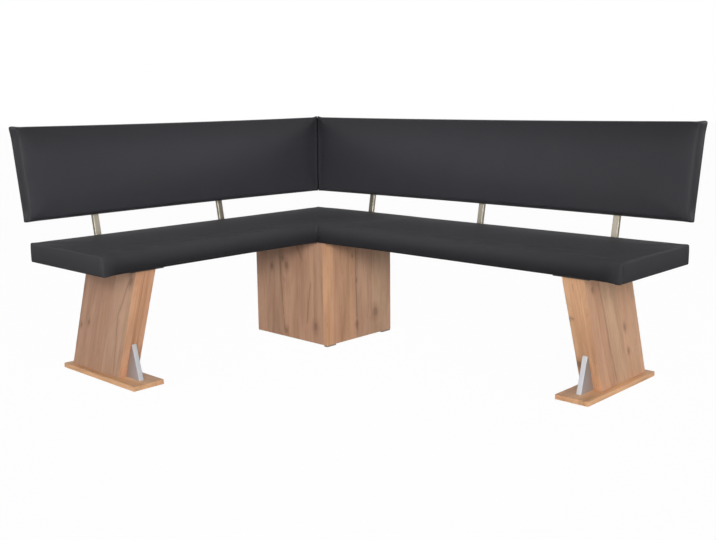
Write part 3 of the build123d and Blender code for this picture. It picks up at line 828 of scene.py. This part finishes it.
def swell(pads):
    """Blow the pads up as cloth, all together, and keep the swelling of each within its cap."""
    scene = bpy.context.scene
    for number in range(1, SWELL_FRAMES + 1):
        scene.frame_set(number)
    depsgraph = bpy.context.evaluated_depsgraph_get()
    for pad, (cap, calm) in pads.items():
        swollen = [vert.co.copy() for vert in pad.evaluated_get(depsgraph).data.vertices]
        moves = [target - vert.co for vert, target in zip(pad.data.vertices, swollen)]
        largest = max(move.length for move in moves)
        share = min(1.0, cap / largest)
        for vert, move in zip(pad.data.vertices, moves):
            vert.co += move * share * calm(vert.co)
    for pad in pads:
        pad.modifiers.clear()
        pad.vertex_groups.clear()
    scene.frame_set(1)


def push(pad, matrix, spot, reach, move):
    """Move the part of a pad near a spot, in the pad's own axes, fading out at the given reach."""
    into_pad = matrix.inverted()
    turned = matrix.to_3x3()
    for vert in pad.data.vertices:
        near = 1 - (into_pad @ vert.co - spot).length / reach
        if near > 0:
            vert.co += turned @ move * step(near, 0, 1)


def fold_seat_end(pad, wing, matrix):
    """The tuck in the cover of a seat's free end, beside its front corner."""
    into_pad = matrix.inverted()
    thickness = SEAT_EDGE - SEAT_UNDERSIDE
    fold = SEAT_DEPTH - SEAT_FOLD_INSET
    fold_start = wing.seat_end - SEAT_FOLD_START
    for vert in pad.data.vertices:
        along, forward, up = into_pad @ vert.co
        if along < fold_start:
            continue
        across = 1 - abs(forward - fold) / SEAT_FOLD_WIDTH
        height = step(-up, SEAT_FOLD_TOP, SEAT_FOLD_FOOT)
        height *= step(along, fold_start, wing.seat_end - SEAT_FOLD_FULL)
        if across > 0:
            vert.co -= wing.along * SEAT_FOLD_DEPTH * step(across, 0, 1) * height
        beside = 1 - abs(forward - fold - PLEAT_OFFSET) / PLEAT_WIDTH
        if beside > 0:
            vert.co += wing.along * PLEAT_HEIGHT * step(beside, 0, 1) * height
        bulge = step(-up / thickness, BULGE_TOP, BULGE_FULL)
        bulge *= step(forward, SEAT_DEPTH - BULGE_REACH, SEAT_DEPTH)
        vert.co += wing.front * BULGE * bulge


def ripple_front(pad, wing, matrix):
    """Slightly uneven padding on a seat, behind its front edge."""
    into_pad = matrix.inverted()
    for vert in pad.data.vertices:
        along, forward, up = into_pad @ vert.co
        near_front = step(forward, SEAT_DEPTH - RIPPLE_REACH, SEAT_DEPTH - SEAT_NOSE_DEPTH)
        share = near_front * step(up, -SEAT_NOSE_HEIGHT, 0) * seat_calm(wing, along, forward)
        share *= step(wing.seat_end - along, RIPPLE_START, RIPPLE_FULL)
        spot = Vector((along / RIPPLE_LENGTH, forward / RIPPLE_WIDTH, 0))
        vert.co += UP * RIPPLE_HEIGHT * noise.noise(spot) * share


def pull_back_corners(pad, wing, matrix):
    """The small ears where the cover is folded at a back's corners."""
    end = wing.back_end
    near_rear = -BACK_THICKNESS * 0.8
    seam_foot = -BACK_SETBACK
    seam_top = seam_foot - BACK_HEIGHT * sin(BACK_TILT)
    ears = (
        # spot, reach and move
        ((end, BACK_HEIGHT, near_rear), 0.045, (0.0035, 0.0065, 0)),
        ((end, BACK_HEIGHT, 0), 0.050, (0, -0.0030, 0)),
        ((end, 0, -0.010), 0.050, (0.0070, -0.0020, 0)),
        ((seam_top, BACK_HEIGHT, -0.004), 0.022, (0, 0.0045, 0)),
        ((seam_foot, 0, -0.004), 0.022, (0, -0.0045, 0)),
    )
    for spot, reach, move in ears:
        push(pad, matrix, Vector(spot), reach, Vector(move))


def smooth_once(pad):
    subdivision = pad.modifiers.new("Smooth", "SUBSURF")
    subdivision.levels = 1
    subdivision.render_levels = 1


def line_underside(seat, lining):
    """Dust cloth under a seat, inside the hem of its cover."""
    seat.data.materials.append(lining)
    low, high = (Vector(seat.bound_box[0]), Vector(seat.bound_box[6]))
    for face in seat.data.polygons:
        x, y = face.center.xy
        inside = min(x - low.x, high.x - x, y - low.y, high.y - y) > SEAT_HEM
        if face.normal.z < FACING_DOWN and inside:
            face.material_index = 1


def make_pads(seat_cover, back_cover, lining):
    """The four upholstered pads."""
    pads = {}
    for wing in WINGS:
        seat_matrix = wing.seat_frame()
        seat = new_piece(f"{wing.name}_seat_pad", seat_block(wing), seat_matrix, seat_cover)
        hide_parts(f"{wing.name}_seat_cushion")
        back_matrix = wing.back_frame()
        back = new_piece(f"{wing.name}_back_pad", back_block(wing), back_matrix, back_cover)
        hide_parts(f"{wing.name}_back_cushion")
        on_seat, on_back = pad_calms(wing)
        pads[seat] = SEAT_SWELL, on_seat
        pads[back] = BACK_SWELL, on_back
        add_cloth(seat, hold(seat, seat_matrix, SEAT_EDGE - SEAT_UNDERSIDE))
        add_cloth(back, hold(back, back_matrix, BACK_THICKNESS))
    swell(pads)
    for wing in WINGS:
        seat = bpy.data.objects[f"{wing.name}_seat_pad"]
        line_underside(seat, lining)
        ripple_front(seat, wing, wing.seat_frame())
        fold_seat_end(seat, wing, wing.seat_frame())
        pull_back_corners(bpy.data.objects[f"{wing.name}_back_pad"], wing, wing.back_frame())
    for pad in pads:
        smooth_once(pad)


def rear_cover(wing, cover):
    """The covered panel that closes a back from behind."""
    start = -BACK_SETBACK
    length = wing.back_end - REAR_COVER_INSET - start
    height = BACK_HEIGHT - 2 * REAR_COVER_INSET
    panel = bmesh.new()
    bmesh.ops.create_cube(panel, size=1, matrix=Matrix.Translation((0.5, 0.5, 0.5)))
    for vert in panel.verts:
        share, y, z = vert.co
        y = REAR_COVER_INSET + y * height
        z = z * REAR_COVER - BACK_THICKNESS
        mitre = z * cos(BACK_TILT) - y * sin(BACK_TILT) - BACK_SETBACK + REAR_COVER_INSET
        vert.co = Vector((mitre + share * (start + length - mitre), y, z))
    bmesh.ops.bevel(
        panel,
        geom=panel.edges[:],
        offset=REAR_COVER_ROUND,
        segments=3,
        profile=0.5,
        affect="EDGES",
        material=-1,
    )
    name = f"{wing.name}_back_rear_cover"
    piece = new_piece(name, panel, wing.back_frame(), cover)
    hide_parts(f"{wing.name}_back_rear_panel")


# Finishes on the pieces


def dress(material, *names):
    """Give CAD pieces a finish."""
    for name in names:
        mesh = nodes[name].data
        mesh.materials.clear()
        mesh.materials.append(material)


# All from a panel's lower corner. A knot is a place across and along the grain, and a radius.
# A crack is such a place at its lower end, one at its upper end, and its strength.
BOX_FRONT_KNOTS = (
    (0.098, 0.290, 0.007),
    (0.166, 0.333, 0.006),
    (0.190, 0.302, 0.010),
    (0.356, 0.068, 0.011),
    (0.180, 0.026, 0.008),
)
BOX_FRONT_CRACKS = (
    (0.172, 0.0, 0.150, 0.360, 0.9),
    (0.303, 0.06, 0.335, 0.26, 0.7),
    (0.285, 0.33, 0.236, 0.425, 0.9),
)
BOX_RIGHT_KNOTS = (
    (0.288, 0.092, 0.012),
    (0.172, 0.060, 0.006),
    (0.172, 0.245, 0.004),
    (0.150, 0.350, 0.004),
)
BOX_RIGHT_CRACKS = ((0.176, 0.0, 0.166, 0.425, 1.0),)
SHORT_SIDE_KNOTS = ((0.066, 0.178, 0.006), (0.018, 0.160, 0.005), (0.288, 0.365, 0.009))
SHORT_SIDE_CRACKS = (
    (0.270, 0.0, 0.241, 0.25, 0.7),
    (0.241, 0.22, 0.288, 0.405, 0.8),
    (0.006, 0.05, 0.010, 0.34, 1.0),
)
LONG_SIDE_KNOTS = ((0.097, 0.195, 0.007), (0.094, 0.105, 0.006), (0.264, 0.360, 0.007))
LONG_SIDE_CRACKS = ((0.205, 0.0, 0.226, 0.400, 0.8),)
LONG_INNER_KNOTS = ((0.306, 0.087, 0.008), (0.304, 0.255, 0.003))
BOX_TINT = (0.70, 0.70, 0.73)
BOX_RIGHT_EDGES = ((-1, 0.040, (1.22, 1.16, 1.01)), (0.040, 0.168, (1.08, 1.03, 0.97)))
EDGE_SKIN = 0.0005  # how deep an edge's tint reaches into a panel


def dress_box():
    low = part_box("box_front_panel")[0]
    across = Vector((1, 0, 0))
    features = {"seed": 0.31, "tint": BOX_TINT, "knots": BOX_FRONT_KNOTS, "cracks": BOX_FRONT_CRACKS}
    dress(oak("oak_box_front", low, across, UP, **features), "box_front_panel")
    dress(oak("oak_box_rear", low, across, UP, seed=5.9), "box_rear_panel")
    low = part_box("box_right_panel")[0]
    across = Vector((0, 1, 0))
    features = {"seed": 2.17, "tint": BOX_TINT, "knots": BOX_RIGHT_KNOTS, "cracks": BOX_RIGHT_CRACKS}
    features["edges"] = BOX_RIGHT_EDGES
    dress(oak("oak_box_right", low, across, UP, **features), "box_right_panel")
    dress(oak("oak_box_left", low, across, UP, seed=4.4), "box_left_panel")


def dress_leg(wing, seed, tint, front_tint, plate_tint, stripes, knots, cracks, inner_knots=()):
    """The wood of a leg and its base plate.

    The front and rear edges of the leg's sides take the strips' tint, so that they look like one board.
    """
    across = wing.front - UP * (LEG_SHIFT / LEG_HEIGHT)
    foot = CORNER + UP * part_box(f"{wing.name}_leg_outer_side")[0].z
    edge_tint = [front / side for front, side in zip(front_tint, tint)]
    edges = ((-1, EDGE_SKIN, edge_tint), (LEG_DEPTH - EDGE_SKIN, 1, edge_tint))
    outer = {"seed": seed, "tint": tint, "knots": knots, "cracks": cracks, "edges": edges}
    dress(oak(f"oak_{wing.name}_leg_outer", foot, across, UP, **outer), f"{wing.name}_leg_outer_side")
    inner = {"seed": seed + 2.1, "tint": tint, "knots": inner_knots, "edges": edges}
    dress(oak(f"oak_{wing.name}_leg_inner", foot, across, UP, **inner), f"{wing.name}_leg_inner_side")
    start = foot + wing.along * wing.reach(f"{wing.name}_leg_inner_side")[0]
    strips = {"seed": seed + 7.7, "into": across, "tint": front_tint, "stripes": stripes}
    strip = oak(f"oak_{wing.name}_leg_strips", start, wing.along, UP, **strips)
    dress(strip, f"{wing.name}_leg_front_strip", f"{wing.name}_leg_rear_strip")
    plate = {"seed": seed + 3.9, "tint": plate_tint}
    dress(oak(f"oak_{wing.name}_plate", start, wing.along, wing.front, **plate), f"{wing.name}_base_plate")


def dress_wood():
    """All the oak: the corner box, the legs and their base plates."""
    dress_box()
    # The legs' sides, front strips and base plates are one oak: their tints are partly the boards' own tone
    # and partly painted light, set for how light falls on each face.
    dress_leg(
        LONG,
        seed=1.734,
        tint=(0.96, 0.96, 0.97),
        front_tint=(1.10, 1.09, 1.015),
        plate_tint=(1.19, 1.135, 0.993),
        stripes=0.2,
        knots=LONG_SIDE_KNOTS,
        cracks=LONG_SIDE_CRACKS,
        inner_knots=LONG_INNER_KNOTS,
    )
    dress_leg(
        SHORT,
        seed=5.957,
        tint=(0.69, 0.69, 0.73),
        front_tint=(0.92, 0.84, 0.79),
        plate_tint=(1.09, 1.04, 0.90),
        stripes=0.5,
        knots=SHORT_SIDE_KNOTS,
        cracks=SHORT_SIDE_CRACKS,
    )


STEEL = 0.38, 0.345, 0.28
STEEL_DARK = 0.275, 0.25, 0.20
ALUMINIUM = 0.53, 0.53, 0.55
ALUMINIUM_DARK = 0.43, 0.43, 0.45


def ending(*words):
    """The names of the CAD pieces that end in one of these words."""
    return [name for name in nodes if name.endswith(words)]


def dress_rest():
    """All pieces that aren't oak or upholstered."""
    lean = {"long": (BACK_TILT, 0, 0), "short": (0, BACK_TILT, 0)}
    for name in nodes:
        if "back_support" in name:
            turn = lean[name.split("_")[0]]
            dress(brushed(f"steel_{name}", STEEL, STEEL_DARK, turn), name)
    aluminium = brushed("satin_aluminium", ALUMINIUM, ALUMINIUM_DARK, roughness=0.42)
    dress(aluminium, "long_leg_gusset", "short_leg_gusset")
    dress(black_paint("black_paint"), "long_mounting_plate", "short_mounting_plate")
    dress(chipboard("chipboard"), *ending("_board"))
    dress(softwood("pine"), *ending("_rails", "_block", "_battens", "_cleats"))
    dress(plated("zinc"), *ending("_screws", "_brackets"))
    dress(felt("glide_felt"), *ending("_glides"))


# Studio

AMBIENT = 0.26
FLOOR_SIZE = 60
FLOOR_GREY = 0.62  # how much light the floor throws back at the bench
FLOOR_SHOWN = 0.97  # share of plain white in what the camera sees of the floor


def studio_world():
    """White to the camera and in reflections, soft and even as a light."""
    world = bpy.data.worlds.new("studio")
    sky = Nodes(world)
    seen = sky.add("ShaderNodeLightPath", output="Is Camera Ray")
    mirrored = sky.add("ShaderNodeLightPath", output="Is Glossy Ray")
    through = sky.add("ShaderNodeLightPath", output="Is Transmission Ray")
    white = (seen + mirrored + through).at_most(1)
    background = sky.tree.nodes["Background"]
    background.inputs["Color"].default_value = rgb(1, 1, 1)
    sky.plug(background.inputs["Strength"], white * (1 - AMBIENT) + AMBIENT)
    bpy.context.scene.world = world


def studio_floor():
    """A white floor that keeps a faint shadow."""
    floor = bmesh.new()
    bmesh.ops.create_grid(floor, x_segments=1, y_segments=1, size=FLOOR_SIZE / 2)
    mesh = bpy.data.meshes.new("floor")
    floor.to_mesh(mesh)
    floor.free()
    finish = Finish("floor_white", Roughness=0.9, Specular_IOR_Level=0.1)
    direct = finish.add("ShaderNodeLightPath", output="Is Camera Ray")
    finish.set(Base_Color=finish.mix(direct, rgb(FLOOR_GREY, FLOOR_GREY, FLOOR_GREY), rgb(1, 1, 1)))
    shown = direct * FLOOR_SHOWN
    white = finish.add("ShaderNodeEmission", {}, {"Color": rgb(1, 1, 1), "Strength": 1.0})
    plain = Wire(finish, finish.shader.outputs[0])
    both = finish.add("ShaderNodeMixShader", {}, {0: shown, 1: plain, 2: white})
    finish.plug(finish.tree.nodes["Material Output"].inputs["Surface"], both)
    mesh.materials.append(finish.material)
    piece = bpy.data.objects.new("floor", mesh)
    bpy.context.scene.collection.objects.link(piece)


def softbox(name, place, aim, width, height, power, spread=pi):
    """A rectangular light at a place, turned to what it aims at."""
    lamp = bpy.data.lights.new(name, "AREA")
    lamp.shape = "RECTANGLE"
    lamp.size = width
    lamp.size_y = height
    lamp.energy = power
    lamp.spread = spread
    box = bpy.data.objects.new(name, lamp)
    box.location = place
    box.rotation_euler = (Vector(aim) - Vector(place)).to_track_quat("-Z", "Y").to_euler()
    bpy.context.scene.collection.objects.link(box)


def studio_lights():
    softbox("front", (4.2, -4.4, 0.75), (0, 0, 0.55), 4.0, 1.35, 42)
    softbox("high", (3.4, -3.6, 3.8), (-0.2, 0.1, 0.5), 2.5, 2.5, 52)
    softbox("side_right", (5.2, 0.2, 0.7), (0, 0.2, 0.55), 4.0, 1.3, 50)
    softbox("side_left", (-0.2, -5.2, 0.7), (-0.2, 0, 0.55), 4.0, 1.3, 50)
    softbox("gleam_right", (2.07, 2.53, 1.45), (-0.85, -0.2, 0.73), 2.0, 1.0, 13)
    softbox("gleam_left", (-2.25, -2.59, 1.45), (0.1, 0.65, 0.73), 2.0, 1.0, 12)
    softbox("corner", (3.2, -3.3, 2.2), (-0.8, 0.6, 0.65), 1.5, 1.5, 14, radians(40))


def photo_camera():
    lens = bpy.data.cameras.new("photo_camera")
    lens.sensor_fit = "HORIZONTAL"
    lens.sensor_width = 36
    lens.lens = FOCAL_PIXELS * lens.sensor_width / IMAGE_WIDTH
    lens.clip_end = 200
    camera = bpy.data.objects.new("photo_camera", lens)
    heading = Matrix.Rotation(CAMERA_HEADING - pi / 2, 4, "Z")
    pitch = Matrix.Rotation(pi / 2 + CAMERA_PITCH, 4, "X")
    roll = Matrix.Rotation(CAMERA_ROLL, 4, "Z")
    camera.matrix_world = Matrix.Translation(CORNER + CAMERA_PLACE) @ heading @ pitch @ roll
    bpy.context.scene.collection.objects.link(camera)
    bpy.context.scene.camera = camera


bpy.context.scene.view_settings.view_transform = "Standard"
studio_world()
studio_floor()
studio_lights()
photo_camera()

# Painted shade darkens the seats' fronts towards their undersides, less near the free ends. The seats and
# backs are one leather: the seats' lighter tone is painted light.
seat_cover = leather(
    "seat_leather",
    tone=(1.54, 1.52, 1.53),
    roughness=0.54,
    gloss=0.06,
    dark_end=(SEAT_UNDERSIDE, 0.82),
    light_end=SEAT_EDGE + 0.022,
    free_ends=(CORNER.x + LONG.seat_end, CORNER.y - SHORT.seat_end),
    painted_end_shade=(0.0, 0.06, 0.55),
)
# Painted shade darkens the backs towards their top edges and on the round turns at their free ends, which
# the lamps light brightly.
back_cover = leather(
    "back_leather",
    tone=(1.12, 1.11, 1.16),
    roughness=0.38,
    gloss=0.13,
    dark_end=(0.90, 0.38),
    light_end=0.78,
    free_ends=(CORNER.x + LONG.back_end, CORNER.y - SHORT.back_end),
    painted_end_shade=(1.0, BACK_END_ROUND, 0.8),
)
make_pads(seat_cover, back_cover, dust_cloth("dust_cloth"))
for wing in WINGS:
    rear_cover(wing, back_cover)
dress_wood()
dress_rest()
